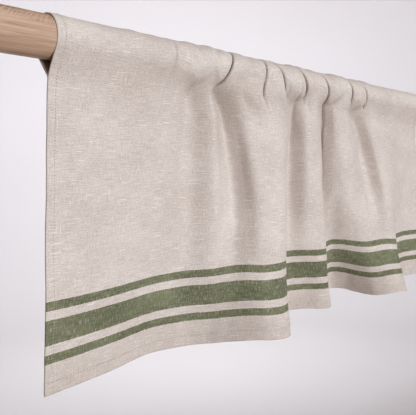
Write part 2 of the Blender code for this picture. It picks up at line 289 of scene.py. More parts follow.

# %% [markdown]
# ## The cloth's main folds
#
# Hanging cloth could be simulated, but a simulation would not fold where this valance
# folds. Each main fold is placed one by one instead. A row below is one line that runs down
# the cloth: where it meets the seam under the rod, where it is a third of the way down,
# where it meets the hem, and how far the hem is hitched up there, or hangs lower if that
# is below 0. The cloth is cut straight, so the hem's own length, measured along all its
# folds, is the width of the flat cloth.

# %% Folds
FOLD_COLUMNS = ("name", "seam_x", "seam_y", "upper_x", "upper_y", "hem_x", "hem_y", "lift")
FOLDS = (
    ("left edge", -0.391, -0.003, -0.392, 0.002, -0.396, 0.006, 0.000),
    ("left panel", -0.325, -0.005, -0.326, 0.004, -0.327, 0.014, 0.000),
    ("back sweep", -0.237, -0.005, -0.235, 0.007, -0.239, 0.024, 0.001),
    ("first groove", -0.206, 0.001, -0.196, 0.014, -0.199, 0.015, 0.001),
    ("first ridge", -0.192, -0.010, -0.174, -0.004, -0.180, 0.004, 0.001),
    ("deep groove, left side", -0.177, -0.001, -0.147, 0.006, -0.162, -0.015, 0.003),
    ("deep groove", -0.166, 0.003, -0.124, 0.014, -0.147, -0.034, 0.003),
    ("deep groove, right side", -0.161, -0.005, -0.117, 0.002, -0.137, -0.045, 0.003),
    ("first fold, side", -0.152, -0.012, -0.111, -0.012, -0.126, -0.054, 0.002),
    ("first fold, crest", -0.125, -0.017, -0.085, -0.020, -0.101, -0.060, 0.001),
    ("first fold, lower edge", -0.100, -0.018, -0.071, -0.022, -0.088, -0.056, 0.002),
    ("first fold, upper edge", -0.079, -0.018, -0.056, -0.021, -0.076, -0.047, 0.003),
    ("first fold, back", -0.054, -0.014, -0.036, -0.008, -0.060, -0.030, 0.003),
    ("first fold, tail", -0.030, -0.002, -0.020, 0.004, -0.041, -0.007, 0.001),
    ("first valley", -0.016, 0.003, -0.008, 0.012, -0.014, 0.019, 0.000),
    ("second fold, root", -0.010, 0.002, 0.003, 0.013, 0.015, 0.022, 0.000),
    ("second fold, side", 0.000, -0.006, 0.015, -0.010, 0.038, 0.009, 0.000),
    ("second fold, upper edge", 0.014, -0.013, 0.041, -0.013, 0.057, -0.007, -0.001),
    ("second fold, lower edge", 0.028, -0.010, 0.054, -0.008, 0.073, -0.014, -0.001),
    ("second fold, back", 0.044, -0.002, 0.069, 0.002, 0.093, -0.001, -0.001),
    ("second fold, tail", 0.056, 0.001, 0.084, 0.010, 0.113, 0.019, -0.003),
    ("second valley", 0.065, 0.000, 0.089, 0.017, 0.133, 0.038, -0.008),
    ("third fold, root", 0.071, -0.003, 0.090, 0.012, 0.149, 0.043, -0.012),
    ("third fold, side", 0.079, -0.008, 0.098, -0.003, 0.172, 0.044, -0.012),
    ("third fold, upper crest", 0.091, -0.013, 0.114, -0.013, 0.186, 0.026, -0.011),
    ("third fold, upper back", 0.108, -0.014, 0.136, -0.013, 0.192, 0.007, -0.009),
    ("third fold, upper fall", 0.134, -0.004, 0.173, -0.006, 0.202, -0.025, -0.007),
    ("last groove", 0.151, 0.002, 0.212, 0.002, 0.230, -0.049, -0.009),
    ("last groove, side", 0.166, -0.008, 0.225, -0.017, 0.252, -0.052, -0.011),
    ("third fold, edge", 0.181, -0.011, 0.240, -0.018, 0.268, -0.049, -0.012),
    ("third fold, back", 0.229, -0.003, 0.278, -0.011, 0.298, -0.022, -0.010),
    ("third valley", 0.262, -0.003, 0.312, -0.005, 0.325, 0.000, -0.006),
    ("right panel", 0.301, -0.004, 0.343, 0.000, 0.362, 0.006, -0.002),
    ("right edge", 0.391, -0.003, 0.406, -0.001, 0.442, -0.004, 0.000),
)
CURVE_STEPS = 4000


def column(rows, columns, name):
    """One named column of a table, as an array."""
    place = columns.index(name)
    return np.array([row[place] for row in rows], dtype=float)


def curve_through(knots, values, at):
    """The smooth curve that passes through a table's values."""
    slopes = np.gradient(values, knots)
    piece = np.clip(np.searchsorted(knots, at, side="right") - 1, 0, len(knots) - 2)
    span = knots[piece + 1] - knots[piece]
    t = (at - knots[piece]) / span
    start = (2 * t**3 - 3 * t**2 + 1) * values[piece]
    leaving = (t**3 - 2 * t**2 + t) * span * slopes[piece]
    end = (3 * t**2 - 2 * t**3) * values[piece + 1]
    arriving = (t**3 - t**2) * span * slopes[piece + 1]
    return start + leaving + end + arriving


def trace_folds():
    """The hem's line from edge to edge, with its length so far as the place across."""
    hem_x = column(FOLDS, FOLD_COLUMNS, "hem_x")
    hem_y = column(FOLDS, FOLD_COLUMNS, "hem_y")
    chords = np.hypot(np.diff(hem_x), np.diff(hem_y))
    knots = np.concatenate([[0.0], np.cumsum(chords)])
    along = np.linspace(0.0, knots[-1], CURVE_STEPS)
    traced = {
        name: curve_through(knots, column(FOLDS, FOLD_COLUMNS, name), along)
        for name in FOLD_COLUMNS[1:]
    }
    steps = np.hypot(np.diff(traced["hem_x"]), np.diff(traced["hem_y"]))
    traced["across"] = np.concatenate([[0.0], np.cumsum(steps)])
    return traced


folds = trace_folds()
CLOTH_WIDTH = float(folds["across"][-1])
covered = float(folds["seam_x"][-1] - folds["seam_x"][0])
print(f"flat cloth {CLOTH_WIDTH:.3f} m wide, {CLOTH_WIDTH / covered:.2f} times the rod it covers")

# %% [markdown]
# ## Softer creases below the seam
#
# Between the main folds the cloth has a few shallow puckers that start at the seam and
# die out on the way down. A positive depth is towards the back. The places are on the flat
# cloth, measured from its left edge.

# %% Creases below the seam
CREASES = (
    # name, across at the top, across at its end, depth, width, reach
    ("pucker on the first fold", 0.318, 0.316, 0.003, 0.008, 0.060),
    ("second pucker on the first fold", 0.366, 0.352, 0.004, 0.008, 0.070),
    ("pucker on the third fold", 0.702, 0.704, 0.002, 0.008, 0.060),
)


def crease_depth(across, down):
    """How far the creases below the seam push the cloth back."""
    depth = np.zeros_like(across)
    for _, across_top, across_end, deepest, width, reach in CREASES:
        fade = np.maximum(0.0, 1.0 - down / reach)
        centre = across_top + (across_end - across_top) * np.minimum(1.0, down / reach)
        spread = width * (1.0 + down / reach)
        profile = np.exp(-(((across - centre) / spread) ** 2))
        depth = depth + deepest * np.sin(0.5 * math.pi * fade) * profile
    return depth


# %% [markdown]
# ## The gathered pocket
#
# Round the rod the spare width has to go somewhere, so it stands off in puffs with sharp
# creases between them. Each row is one crease: where it crosses the top of the rod, where
# it meets the seam, how deep it is at both, and how wide. A crease multiplies the height
# of the cloth by a cusp, which is pointed at the bottom and round at both shoulders, as a
# real crease is. A strength that falls below 0 ends the crease before it gets to the seam.
#
# The cloth's weight pulls the puffs down on top of the rod, so they stay low there. The
# second table has their heights on top, which draw the cloth's upper outline. The third
# says how full the gathers are along the rod, since both ends of the cloth lie flat.

# %% Creases of the pocket
GATHERED_PUFF = 0.0115
GATHERS = (
    # top x, seam x, top strength, seam strength, width
    (-0.250, -0.258, 0.62, 0.45, 0.012),
    (-0.219, -0.196, 0.95, -1.20, 0.009),
    (-0.196, -0.215, -0.10, 0.66, 0.014),
    (-0.182, -0.190, 0.90, -2.50, 0.006),
    (-0.154, -0.184, 1.00, 1.00, 0.008),
    (-0.126, -0.140, 0.20, 0.20, 0.009),
    (-0.098, -0.104, 1.00, 0.85, 0.007),
    (-0.080, -0.042, 1.00, 1.00, 0.008),
    (-0.060, -0.022, 1.00, -1.20, 0.006),
    (-0.042, -0.010, 0.20, 0.35, 0.005),
    (-0.030, 0.007, 1.00, 0.35, 0.008),
    (0.006, 0.034, 0.45, 0.12, 0.006),
    (0.024, 0.064, 1.00, 1.00, 0.008),
    (0.048, 0.088, 1.00, -1.20, 0.007),
    (0.080, 0.110, 0.15, 0.35, 0.007),
    (0.099, 0.126, 1.00, 1.00, 0.008),
    (0.122, 0.152, 0.70, -0.20, 0.005),
    (0.140, 0.172, 1.00, 1.00, 0.007),
    (0.164, 0.186, 0.50, 0.60, 0.007),
)
PUFF_TOPS = (
    # rod x, height over the plain pocket, width
    (-0.384, 0.0006, 0.008),
    (-0.300, 0.0012, 0.009),
    (-0.276, 0.0008, 0.006),
    (-0.251, 0.0010, 0.008),
    (-0.219, 0.0025, 0.011),
    (-0.190, 0.0024, 0.009),
    (-0.171, 0.0012, 0.005),
    (-0.141, 0.0012, 0.008),
    (-0.086, 0.0009, 0.008),
    (-0.070, 0.0010, 0.005),
    (-0.027, 0.0024, 0.009),
    (-0.010, 0.0018, 0.005),
    (0.012, 0.0012, 0.008),
    (0.080, 0.0026, 0.010),
    (0.103, 0.0021, 0.007),
    (0.140, 0.0019, 0.009),
    (0.170, 0.0022, 0.010),
    (0.346, 0.0006, 0.010),
)
FULLNESS = (
    # rod x, fullness from 0 to 1
    (-0.391, 0.00),
    (-0.300, 0.00),
    (-0.262, 0.55),
    (-0.215, 0.80),
    (-0.165, 1.00),
    (-0.120, 0.95),
    (-0.050, 1.00),
    (0.100, 1.00),
    (0.165, 0.95),
    (0.205, 0.20),
    (0.240, 0.00),
    (0.391, 0.00),
)
PUFF_RISE = 2.2  # a puff has its full height after one part in this many of the way down
PUFF_RISE_SHAPE = 1.5  # more keeps it lower near the top of the rod
CREASE_BLUNTNESS = 0.0005
CREASE_SHAPE = 1.25  # 1 is a pointed crease, and 2 a round one
CREASE_PINCH = 0.85  # how much closer the cloth's sides come together in a crease
PINCH_REACH = 1.5  # in widths of the crease
SLIT_WIDTH = 0.34  # of the sharp middle of a crease, in widths of the crease
DOME_SHARE = 0.32  # how much of a puff's height is in its broad dome
DOME_WIDTH = 1.9  # in widths of the crease
PUFF_LEAN = -0.55  # how far a puff leans along the rod, here over the crease on its left


def fullness_at(x):
    """How full the gathers are at a place along the rod, from 0 to 1."""
    return np.interp(x, [row[0] for row in FULLNESS], [row[1] for row in FULLNESS])


def puff_top(x):
    """How far the puffs stand off the top of the rod, where they are pulled down on it."""
    height = np.zeros_like(x)
    for middle, tallest, width in PUFF_TOPS:
        height += tallest * np.exp(-(((x - middle) / width) ** 2))
    return height


def gather(x, turn):
    """How far the pocket stands off the rod, how far it moves along it, and how creased it is.

    turn is 0 on top of the rod and 1 at the seam.
    """
    rise = np.sin(0.5 * math.pi * np.clip(PUFF_RISE * turn, 0.0, 1.0)) ** PUFF_RISE_SHAPE
    relief = puff_top(x) * (1.0 - rise) + GATHERED_PUFF * fullness_at(x) * rise
    pinch = np.zeros_like(x)
    creased = np.zeros_like(x)
    for top_x, seam_x, top_strength, seam_strength, width in GATHERS:
        crease_x = top_x + (seam_x - top_x) * turn
        strength = np.maximum(top_strength + (seam_strength - top_strength) * turn, 0.0)
        off = x - crease_x
        away = np.hypot(off, CREASE_BLUNTNESS) - CREASE_BLUNTNESS
        slit = np.exp(-((away / (SLIT_WIDTH * width)) ** CREASE_SHAPE))
        dome = np.exp(-((off / (DOME_WIDTH * width)) ** 2))
        relief = relief * (1.0 - strength * (slit + DOME_SHARE * rise * (dome - slit)))
        pinch -= CREASE_PINCH * strength * off * np.exp(-((off / (PINCH_REACH * width)) ** 2))
        creased = np.maximum(creased, strength * slit)
    return relief, pinch, creased * fullness_at(x)


print(f"{len(GATHERS)} creases in the pocket, puffs up to {GATHERED_PUFF * 1000:.1f} mm")

# %% [markdown]
# ## One strip of cloth, from the back of the pocket to the hem
#
# Seen from its end, the cloth starts with a narrow turned edge behind the seam, goes up
# the back of the rod, over it, down its front to the seam, and then hangs. Each row of the
# mesh has one place on that line: (y, z), how much it shares the seam's own place, and its
# distance along the cloth. The rows are close together in the gathers and further apart
# below, apart from a narrow one along each edge that keeps the edge's shading clean.

# %% The strip's line
POCKET_RADIUS = 0.0212  # of the cloth's outer side, where it lies on the rod
SEAM_DROP = 0.0340
HANG = 0.2995
TURNED_EDGE = 0.0015  # of the pocket's hem, which shows below the seam on the back
LAYER_GAP = 0.0032  # between the two layers at the seam
BACK_ROWS = 5
ARC_ROWS = 34
FRONT_ROWS = 11
HANG_ROWS = 48
HANG_BUNCHING = 1.35  # more than 1 puts more of the rows near the seam
EDGE_STRIP = 0.0012  # a narrow strip of faces along each edge, which rounds only there


def strip_rows(seam_y, seam_z):
    """The pocket's rows as (y, z, seam share), from the turned edge to the seam.

    The cloth runs straight from the seam to where it touches the rod, at both sides.
    """

    def towards(place_y, place_z):
        """The direction of a place from the rod's axis, and half the angle it sees the rod by."""
        return np.arctan2(place_z, place_y), np.arccos(POCKET_RADIUS / np.hypot(place_y, place_z))

    back_y = seam_y + LAYER_GAP
    back_direction, back_half = towards(back_y, seam_z)
    front_direction, front_half = towards(seam_y, seam_z)
    first = back_direction + back_half
    last = front_direction - front_half + 2 * math.pi
    arc = []
    for step in range(ARC_ROWS + 1):
        angle = first + (last - first) * step / ARC_ROWS
        arc.append((POCKET_RADIUS * np.cos(angle), POCKET_RADIUS * np.sin(angle), 0.0))
    rows = [(back_y, seam_z - TURNED_EDGE, 1.0)]
    for step in range(BACK_ROWS):
        share = 1.0 - step / BACK_ROWS
        y, z, _ = arc[0]
        rows.append((y + (back_y - y) * share, z + (seam_z - z) * share, share))
    rows.extend(arc)
    for step in range(1, FRONT_ROWS + 1):
        share = step / FRONT_ROWS
        y, z, _ = arc[-1]
        rows.append((y + (seam_y - y) * share, z + (seam_z - z) * share, share))
    return rows


def plain_strip():
    """The strip where it isn't gathered: (y, z, seam share, distance along) for each row."""
    line = np.array(strip_rows(0.0, -SEAM_DROP))
    lengths = np.hypot(np.diff(line[:, 0]), np.diff(line[:, 1]))
    return np.column_stack([line, np.concatenate([[0.0], np.cumsum(lengths)])])


pocket_line = plain_strip()
POCKET_LENGTH = float(pocket_line[-1, 3])
CLOTH_LENGTH = POCKET_LENGTH + HANG
hang_places = HANG * np.linspace(0.0, 1.0, HANG_ROWS + 1)[1:] ** HANG_BUNCHING
hang_places = np.insert(hang_places, -1, HANG - EDGE_STRIP)
along_places = np.concatenate([pocket_line[:, 3], POCKET_LENGTH + hang_places])
print(f"pocket {POCKET_LENGTH * 1000:.0f} mm round, cloth {CLOTH_LENGTH * 1000:.0f} mm long")

# %% [markdown]
# ## Columns of the mesh
#
# The columns follow the threads that run down the cloth. They are about 1.7 mm apart in
# the gathers, to hold the sharp creases, and wider where the cloth lies flat.

# %% Columns
SPACINGS = (
    # from, to, distance between two columns
    (0.000, 0.014, 0.0035),
    (0.014, 0.120, 0.0075),
    (0.120, 0.220, 0.0022),
    (0.220, 0.800, 0.0017),
    (0.800, 1.002, 0.0080),
    (1.002, 1.100, 0.0035),
)


def column_places(width):
    """Where the mesh's columns lie across the flat cloth."""
    places = [0.0]
    for start, end, spacing in SPACINGS:
        stop = min(end, width)
        count = max(1, round((stop - start) / spacing))
        places.extend(np.linspace(start, stop, count + 1)[1:])
    places[-1] = width
    places.insert(1, EDGE_STRIP)
    places.insert(-1, width - EDGE_STRIP)
    return np.array(places)


across_places = column_places(CLOTH_WIDTH)
print(f"{len(across_places)} columns by {len(along_places)} rows")

# %% [markdown]
# ## The hanging shape
#
# Each column goes from its place on the seam to its place on the hem. A column that swings
# out sideways hangs less far down, because linen hardly stretches, so its height is added
# up from the length of the thread. On the way it bows out to its upper place in the table.
# The gathers run on through the seam: their sharp part is gone after a few centimetres,
# and their broad part turns into the folds.

# %% Hang the cloth
FLARE = 1.1  # 1 is a straight fold, and more swings out later on its way down
GATHERED_SEAM_LIFT = 0.007
SEAM_RIPPLE = 0.70
SHARP_REACH = 0.026
SHARP_FADE = 1.5  # more makes the sharp part fade sooner
BROAD_REACH = 0.110
BROAD_SHARE = 0.35
SEAM_SOFTNESS = 0.009
SEAM_SOFT_REACH = 0.024
STEEPEST = 0.95  # the most that a thread may run sideways, per metre of its length
UPPER = 0.100  # how far the table's upper places are below the seam
BOW_RISE = 0.025
BOW_FALL = (0.110, 0.250)


def bow_share(down):
    """How much of the upper bow there is at a distance below the seam, from 0 to 1."""
    low, high = BOW_FALL
    fall = min(max((down - low) / (high - low), 0.0), 1.0)
    return (1.0 - math.exp(-down / BOW_RISE)) * (1.0 - fall * fall * (3.0 - 2.0 * fall))


def soften_seam(points):
    """Rounds the bend at the seam: linen is too stiff for a sharp one."""
    softened = points.copy()
    near = np.abs(along_places - POCKET_LENGTH)
    for row in np.flatnonzero(near < SEAM_SOFT_REACH):
        weights = np.exp(-(((along_places - along_places[row]) / SEAM_SOFTNESS) ** 2))
        weights = weights * np.gradient(along_places)
        average = (points * (weights / weights.sum())[None, :, None]).sum(axis=1)
        share = math.cos(0.5 * math.pi * near[row] / SEAM_SOFT_REACH) ** 2
        softened[:, row] += (average - points[:, row]) * share
    seam_row = len(pocket_line) - 1
    moved = softened[:, seam_row] - points[:, seam_row]
    for row in range(BACK_ROWS + 1):
        softened[:, row] += moved * pocket_line[row, 2]
    return softened


def hang_cloth():
    """The cloth's points and how creased it is there, as columns by rows."""
    at = {name: np.interp(across_places, folds["across"], folds[name]) for name in folds}
    fullness = fullness_at(at["seam_x"])
    seam_lift = GATHERED_SEAM_LIFT * fullness
    seam_relief, seam_pinch, seam_creased = gather(at["seam_x"], 1.0)
    sharp = SEAM_RIPPLE * seam_relief
    broad = SEAM_RIPPLE * BROAD_SHARE * GATHERED_PUFF * fullness
    points = []
    creases = []
    for y, z, seam_share in strip_rows(at["seam_y"] - sharp, seam_lift - SEAM_DROP):
        turn = np.clip((1.0 - z / POCKET_RADIUS) / (1.0 + SEAM_DROP / POCKET_RADIUS), 0.0, 1.0)
        relief, pinch, creased = gather(at["seam_x"], turn)
        standing = relief * (1.0 - seam_share)
        row_x = at["seam_x"] + pinch + PUFF_LEAN * (standing + sharp * seam_share)
        outwards = 1.0 + standing / np.hypot(y, z)
        points.append(np.stack([row_x, y * outwards, z * outwards], axis=-1))
        creases.append(creased)

    facing = np.stack(
        [-np.gradient(at["hem_y"], across_places), np.gradient(at["hem_x"], across_places)],
        axis=-1,
    )
    facing /= np.linalg.norm(facing, axis=-1, keepdims=True)
    x, y, z = at["seam_x"], at["seam_y"], -SEAM_DROP + seam_lift
    run_x = at["hem_x"] - at["seam_x"]
    run_y = at["hem_y"] - at["seam_y"]
    upper_share = (UPPER / HANG) ** FLARE
    bow_x = at["upper_x"] - at["seam_x"] - run_x * upper_share
    bow_y = at["upper_y"] - at["seam_y"] - run_y * upper_share
    before = 0.0
    for down in hang_places:
        share = (down / HANG) ** FLARE
        next_x = at["seam_x"] + run_x * share
        next_y = at["seam_y"] + run_y * share
        step = down - before
        slope = np.hypot(next_x - x, next_y - y) / step
        z = z - step * np.sqrt(1.0 - np.minimum(slope, STEEPEST) ** 2)
        z = z + (at["lift"] - seam_lift) * step / HANG
        x, y, before = next_x, next_y, down
        sharp_fade = max(0.0, 1.0 - down / SHARP_REACH) ** SHARP_FADE
        ripple = broad * max(0.0, 1.0 - down / BROAD_REACH) + (sharp - broad) * sharp_fade
        depth = crease_depth(across_places, down) - ripple
        bowed = bow_share(down) / bow_share(UPPER)
        row_x = x + bow_x * bowed + depth * facing[:, 0] + seam_pinch * sharp_fade
        row_x = row_x + PUFF_LEAN * sharp * sharp_fade
        row_y = y + bow_y * bowed + depth * facing[:, 1]
        points.append(np.stack([row_x, row_y, z], axis=-1))
        creases.append(seam_creased * sharp_fade**2)
    return soften_seam(np.stack(points, axis=1)), np.stack(creases, axis=1)


def grid_normals(points):
    """The direction that each point of the grid faces: out from the rod, to the room."""
    normals = np.cross(np.gradient(points, axis=0), np.gradient(points, axis=1))
    return -normals / np.linalg.norm(normals, axis=-1, keepdims=True)


cloth_points, cloth_creases = hang_cloth()
cloth_normals = grid_normals(cloth_points)
panel_point = (40, -20)  # a column and a row of the left panel
print("the left panel faces", cloth_normals[panel_point].round(2))

# %% [markdown]
# ## Small unevenness
#
# Washed linen is never quite flat. A sum of waves in many directions, with a fixed seed,
# moves the cloth in and out by fractions of a millimetre. The long waves are the strongest.

# %% Uneven linen
WAVE_SEED = 11
WAVE_BANDS = (
    # how many waves, longest, shortest wavelength, height
    (14, 0.120, 0.060, 0.00060),
    (30, 0.045, 0.018, 0.00020),
)
WAVE_START = 0.03  # the waves come in over this far below the seam


def linen_waves(across, along):
    """The height of the small unevenness at places on the flat cloth."""
    random = np.random.default_rng(WAVE_SEED)
    height = np.zeros(np.broadcast(across, along).shape)
    for count, longest, shortest, strength in WAVE_BANDS:
        for _ in range(count):
            length = random.uniform(shortest, longest)
            heading = random.uniform(0.0, math.pi)
            phase = random.uniform(0.0, 2 * math.pi)
            travel = across * math.cos(heading) + along * math.sin(heading)
            height += strength * np.sin(2 * math.pi * travel / length + phase) / count**0.5
    return height


unevenness = linen_waves(across_places[:, None], along_places[None, :])
below_seam = np.clip((along_places - POCKET_LENGTH) / WAVE_START, 0.0, 1.0)
cloth_points = cloth_points + cloth_normals * (unevenness * below_seam[None, :])[..., None]
print(f"unevenness up to {abs(unevenness).max() * 1000:.2f} mm")

# %% [markdown]
# ## From points to a sheet
#
# The grid becomes a mesh of one layer. Its UV map is the flat cloth in metres, measured
# from the left edge and up from the hem, so the weave and the stripes lie along the
# threads. A second value on each point says how creased it is there, and the linen paints
# brown shade where it is high. A vertex group marks the hems, where the cloth is folded
# over, and Solidify makes those three layers thick.

# %% The cloth's mesh
CLOTH_THICKNESS = 0.0007
HEM_THICKNESS = 0.0016
SIDE_HEM = 0.0100
BOTTOM_HEM = 0.0135


def on_hem(across, along):
    """Whether a place on the flat cloth is on a folded hem."""
    side = min(across, CLOTH_WIDTH - across)
    return side < SIDE_HEM or CLOTH_LENGTH - along < BOTTOM_HEM


def make_cloth():
    """The sheet of linen, with its UV map and its hems marked."""
    columns, rows = cloth_points.shape[:2]
    mesh = bpy.data.meshes.new("linen_valance")
    index = np.arange(columns * rows).reshape(columns, rows)
    corners = np.stack([index[:-1, :-1], index[:-1, 1:], index[1:, 1:], index[1:, :-1]], axis=-1)
    mesh.from_pydata(cloth_points.reshape(-1, 3).tolist(), [], corners.reshape(-1, 4).tolist())
    across = np.repeat(across_places, rows)
    above_hem = CLOTH_LENGTH - np.tile(along_places, columns)
    layer = mesh.uv_layers.new(name="flat cloth")
    loop_points = np.zeros(len(mesh.loops), dtype=np.int32)
    mesh.loops.foreach_get("vertex_index", loop_points)
    layer.data.foreach_set("uv", np.stack([across, above_hem], -1)[loop_points].ravel())
    creased = mesh.attributes.new("creased", "FLOAT", "POINT")
    creased.data.foreach_set("value", cloth_creases.ravel())
    mesh.shade_smooth()
    cloth = add_object("linen_valance", mesh)
    hems = cloth.vertex_groups.new(name="hems")
    folded = [
        int(index[i, j])
        for i, side in enumerate(across_places)
        for j, along in enumerate(along_places)
        if on_hem(side, along)
    ]
    hems.add(folded, 1.0, "REPLACE")
    layers = cloth.modifiers.new("layers", "SOLIDIFY")
    layers.thickness = HEM_THICKNESS
    layers.offset = -1.0
    layers.vertex_group = "hems"
    layers.thickness_vertex_group = CLOTH_THICKNESS / HEM_THICKNESS
    layers.use_even_offset = False
    return cloth


valance = make_cloth()
print(f"{valance.name}: {len(valance.data.polygons)} faces in one layer")

# %% [markdown]
# ## Linen
#
# Linen yarn is uneven: it has thick, pale stretches called slubs, and no two threads have
# the same tone. Noise that is stretched far along one direction looks like threads, so one
# noise makes the threads across and another those down. The three green stripes are woven
# with green thread across, and the natural thread down still shows between it. Towards the
# hem the colour is a little darker, which is painted shade, and the deepest creases get a
# painted brown shade, which stands for light that has gone from cloth to cloth many times.

# %% Sizes and colours of the linen
STRIPES = (
    # from, to, in metres above the hem
    (0.0304, 0.0394),
    (0.0486, 0.0730),
    (0.0818, 0.0910),
)
STRIPE_SPAN = 0.1  # the ramp below covers the lowest 0.1 m of the cloth
STRIPE_WOBBLE = 0.0012
THREAD_PITCH = 0.00058
LINEN_SHADE = (0.455, 0.378, 0.328)
LINEN_LIGHT = (0.690, 0.615, 0.568)
LOW_SHADE_TINT = (0.91, 0.90, 0.89)  # what is left of the colour at the hem: painted shade, which fades out upwards
LINEN_FULL = (1.0, 1.0, 1.0)
LOW_BAND = 0.055  # how high above the hem that reaches
SLUB_CREAM = (0.86, 0.785, 0.68)
STRAW = (0.52, 0.36, 0.22)
GREEN_DEEP = (0.080, 0.086, 0.044)
GREEN_LIGHT = (0.188, 0.192, 0.106)
# painted shade: the brown that the deepest creases get, in place of light bounced between cloth
PAINTED_CREASE_SHADE = (0.27, 0.155, 0.078)
CREASE_SHADE_SHOWS = (0.25, 0.80)  # how creased the cloth is where the painted crease shade starts and is full
SLUB_SHARE = 0.75  # how far each of these covers what is under it
STRAW_SHARE = 0.6
WARP_SHARE = 0.35
CREASE_SHADE_SHARE = 0.90

# %% Threads and slubs
YARNS = {
    # name: noise scale across and down the cloth, detail
    "threads across": ((60.0, 1500.0), 2.0),
    "threads down": ((1500.0, 90.0), 2.0),
    "short yarn": ((420.0, 1300.0), 1.0),
    "slow tone": ((14.0, 22.0), 3.0),
    "wobble": ((260.0, 12.0), 2.0),
}
LINEN_TONE = {"threads across": 0.34, "threads down": 0.20, "short yarn": 0.30, "slow tone": 0.16}
LINEN_TONE_RANGE = (0.36, 0.64)
GREEN_TONE = {"threads across": 0.6, "slow tone": 0.4}
GREEN_TONE_RANGE = (0.34, 0.66)
SPECKS = {
    # name: noise scale across and down, detail, the noise where it starts and where it is full
    "slubs across": ((46.0, 900.0), 1.0, 0.66, 0.74),
    "slubs down": ((1000.0, 40.0), 1.0, 0.70, 0.77),
    "straw flecks": ((240.0, 420.0), 0.0, 0.80, 0.86),
    "threads down in a stripe": ((1250.0, 150.0), 1.0, 0.50, 0.72),
}

linen, linen_tree, linen_shader = new_material(
    "natural linen with green stripes",
    {
        "Roughness": 0.88,
        "Specular IOR Level": 0.25,
        "Sheen Weight": 0.08,
        "Sheen Roughness": 0.45,
        "Sheen Tint": (1.0, 0.95, 0.88, 1.0),
    },
)
flat_place = node(linen_tree, "ShaderNodeUVMap", uv_map="flat cloth").outputs["UV"]
flat_axes = node(linen_tree, "ShaderNodeSeparateXYZ", {"Vector": flat_place}).outputs
yarns = {}
for name, (scale, detail) in YARNS.items():
    yarns[name] = stretched_noise(flat_place, scale, detail)
specks = {}
for name, (scale, detail, low, high) in SPECKS.items():
    noise = stretched_noise(flat_place, scale, detail)
    specks[name] = between(noise, low, high)


def yarn_tone(shares, tone_range):
    """How pale the yarn is, from 0 to 1."""
    tone = weighted_sum(*((yarns[name], share) for name, share in shares.items()))
    return between(tone, *tone_range)


natural = mix_colours(yarn_tone(LINEN_TONE, LINEN_TONE_RANGE), LINEN_SHADE, LINEN_LIGHT)
slubs = math_node("MAXIMUM", specks["slubs across"], specks["slubs down"])
natural = lay_over(slubs, SLUB_SHARE, natural, SLUB_CREAM)
natural = lay_over(specks["straw flecks"], STRAW_SHARE, natural, STRAW)

# %% Woven stripes
above_hem = flat_axes["Y"]
wobble = math_node("SUBTRACT", yarns["wobble"], 0.5)
wobbly = math_node("ADD", above_hem, math_node("MULTIPLY", wobble, STRIPE_WOBBLE))
ramp_place = math_node("DIVIDE", wobbly, STRIPE_SPAN)
stripe_node = node(linen_tree, "ShaderNodeValToRGB", {"Fac": ramp_place})
stripe_ramp = stripe_node.color_ramp
stripe_ramp.interpolation = "CONSTANT"
stripe_ramp.elements[0].color = (0.0, 0.0, 0.0, 1.0)
stripe_ramp.elements.remove(stripe_ramp.elements[1])
for low, high in STRIPES:
    stripe_ramp.elements.new(low / STRIPE_SPAN).color = (1.0, 1.0, 1.0, 1.0)
    stripe_ramp.elements.new(high / STRIPE_SPAN).color = (0.0, 0.0, 0.0, 1.0)

green = mix_colours(yarn_tone(GREEN_TONE, GREEN_TONE_RANGE), GREEN_DEEP, GREEN_LIGHT)
green = lay_over(specks["threads down in a stripe"], WARP_SHARE, green, natural)
woven = mix_colours(stripe_node.outputs["Color"], natural, green)
print("stripes:", [f"{low * 1000:.0f}-{high * 1000:.0f} mm" for low, high in STRIPES])

# %% Painted shade towards the hem and in the creases
# Painted shade: the colour gets darker over the lowest LOW_BAND of the cloth.
off_hem = between(above_hem, 0.0, LOW_BAND)
painted_low_shade = mix_colours(off_hem, LOW_SHADE_TINT, LINEN_FULL)
shaded_woven = mix_colours(1.0, woven, painted_low_shade, "MULTIPLY")
# Painted shade: the colour turns brown where the cloth's creased value is high.
creased = node(linen_tree, "ShaderNodeAttribute", attribute_name="creased").outputs["Fac"]
crease_shade_mask = between(creased, *CREASE_SHADE_SHOWS)
linen_colour = lay_over(crease_shade_mask, CREASE_SHADE_SHARE, shaded_woven, PAINTED_CREASE_SHADE)
linen_tree.links.new(linen_colour, linen_shader.inputs["Base Color"])

# %% Weave relief
WEAVE_SHARE = 0.35
SLUB_HEIGHT = 0.6
LINEN_BUMP = {"Strength": 0.55, "Distance": 0.0003}

waves = []
for axis in ("X", "Y"):
    angle = math_node("MULTIPLY", flat_axes[axis], math.pi / THREAD_PITCH)
    waves.append(math_node("SINE", angle))
weave = math_node("MULTIPLY", *waves)
cloth_height = weighted_sum(
    (weave, WEAVE_SHARE),
    (yarns["threads across"], 1.0),
    (yarns["threads down"], 1.0),
    (slubs, SLUB_HEIGHT),
)
weave_bump = node(linen_tree, "ShaderNodeBump", {"Height": cloth_height, **LINEN_BUMP})
linen_tree.links.new(weave_bump.outputs["Normal"], linen_shader.inputs["Normal"])
valance.data.materials.append(linen)
print(f"{linen.name}: {len(linen_tree.nodes)} nodes")

# %% [markdown]
# ## The rod
#
# The rod is a plain round stick of light wood. It is a tube of rings, with smaller rings at
# both ends for the worn rims, and each ring is very slightly out of round.

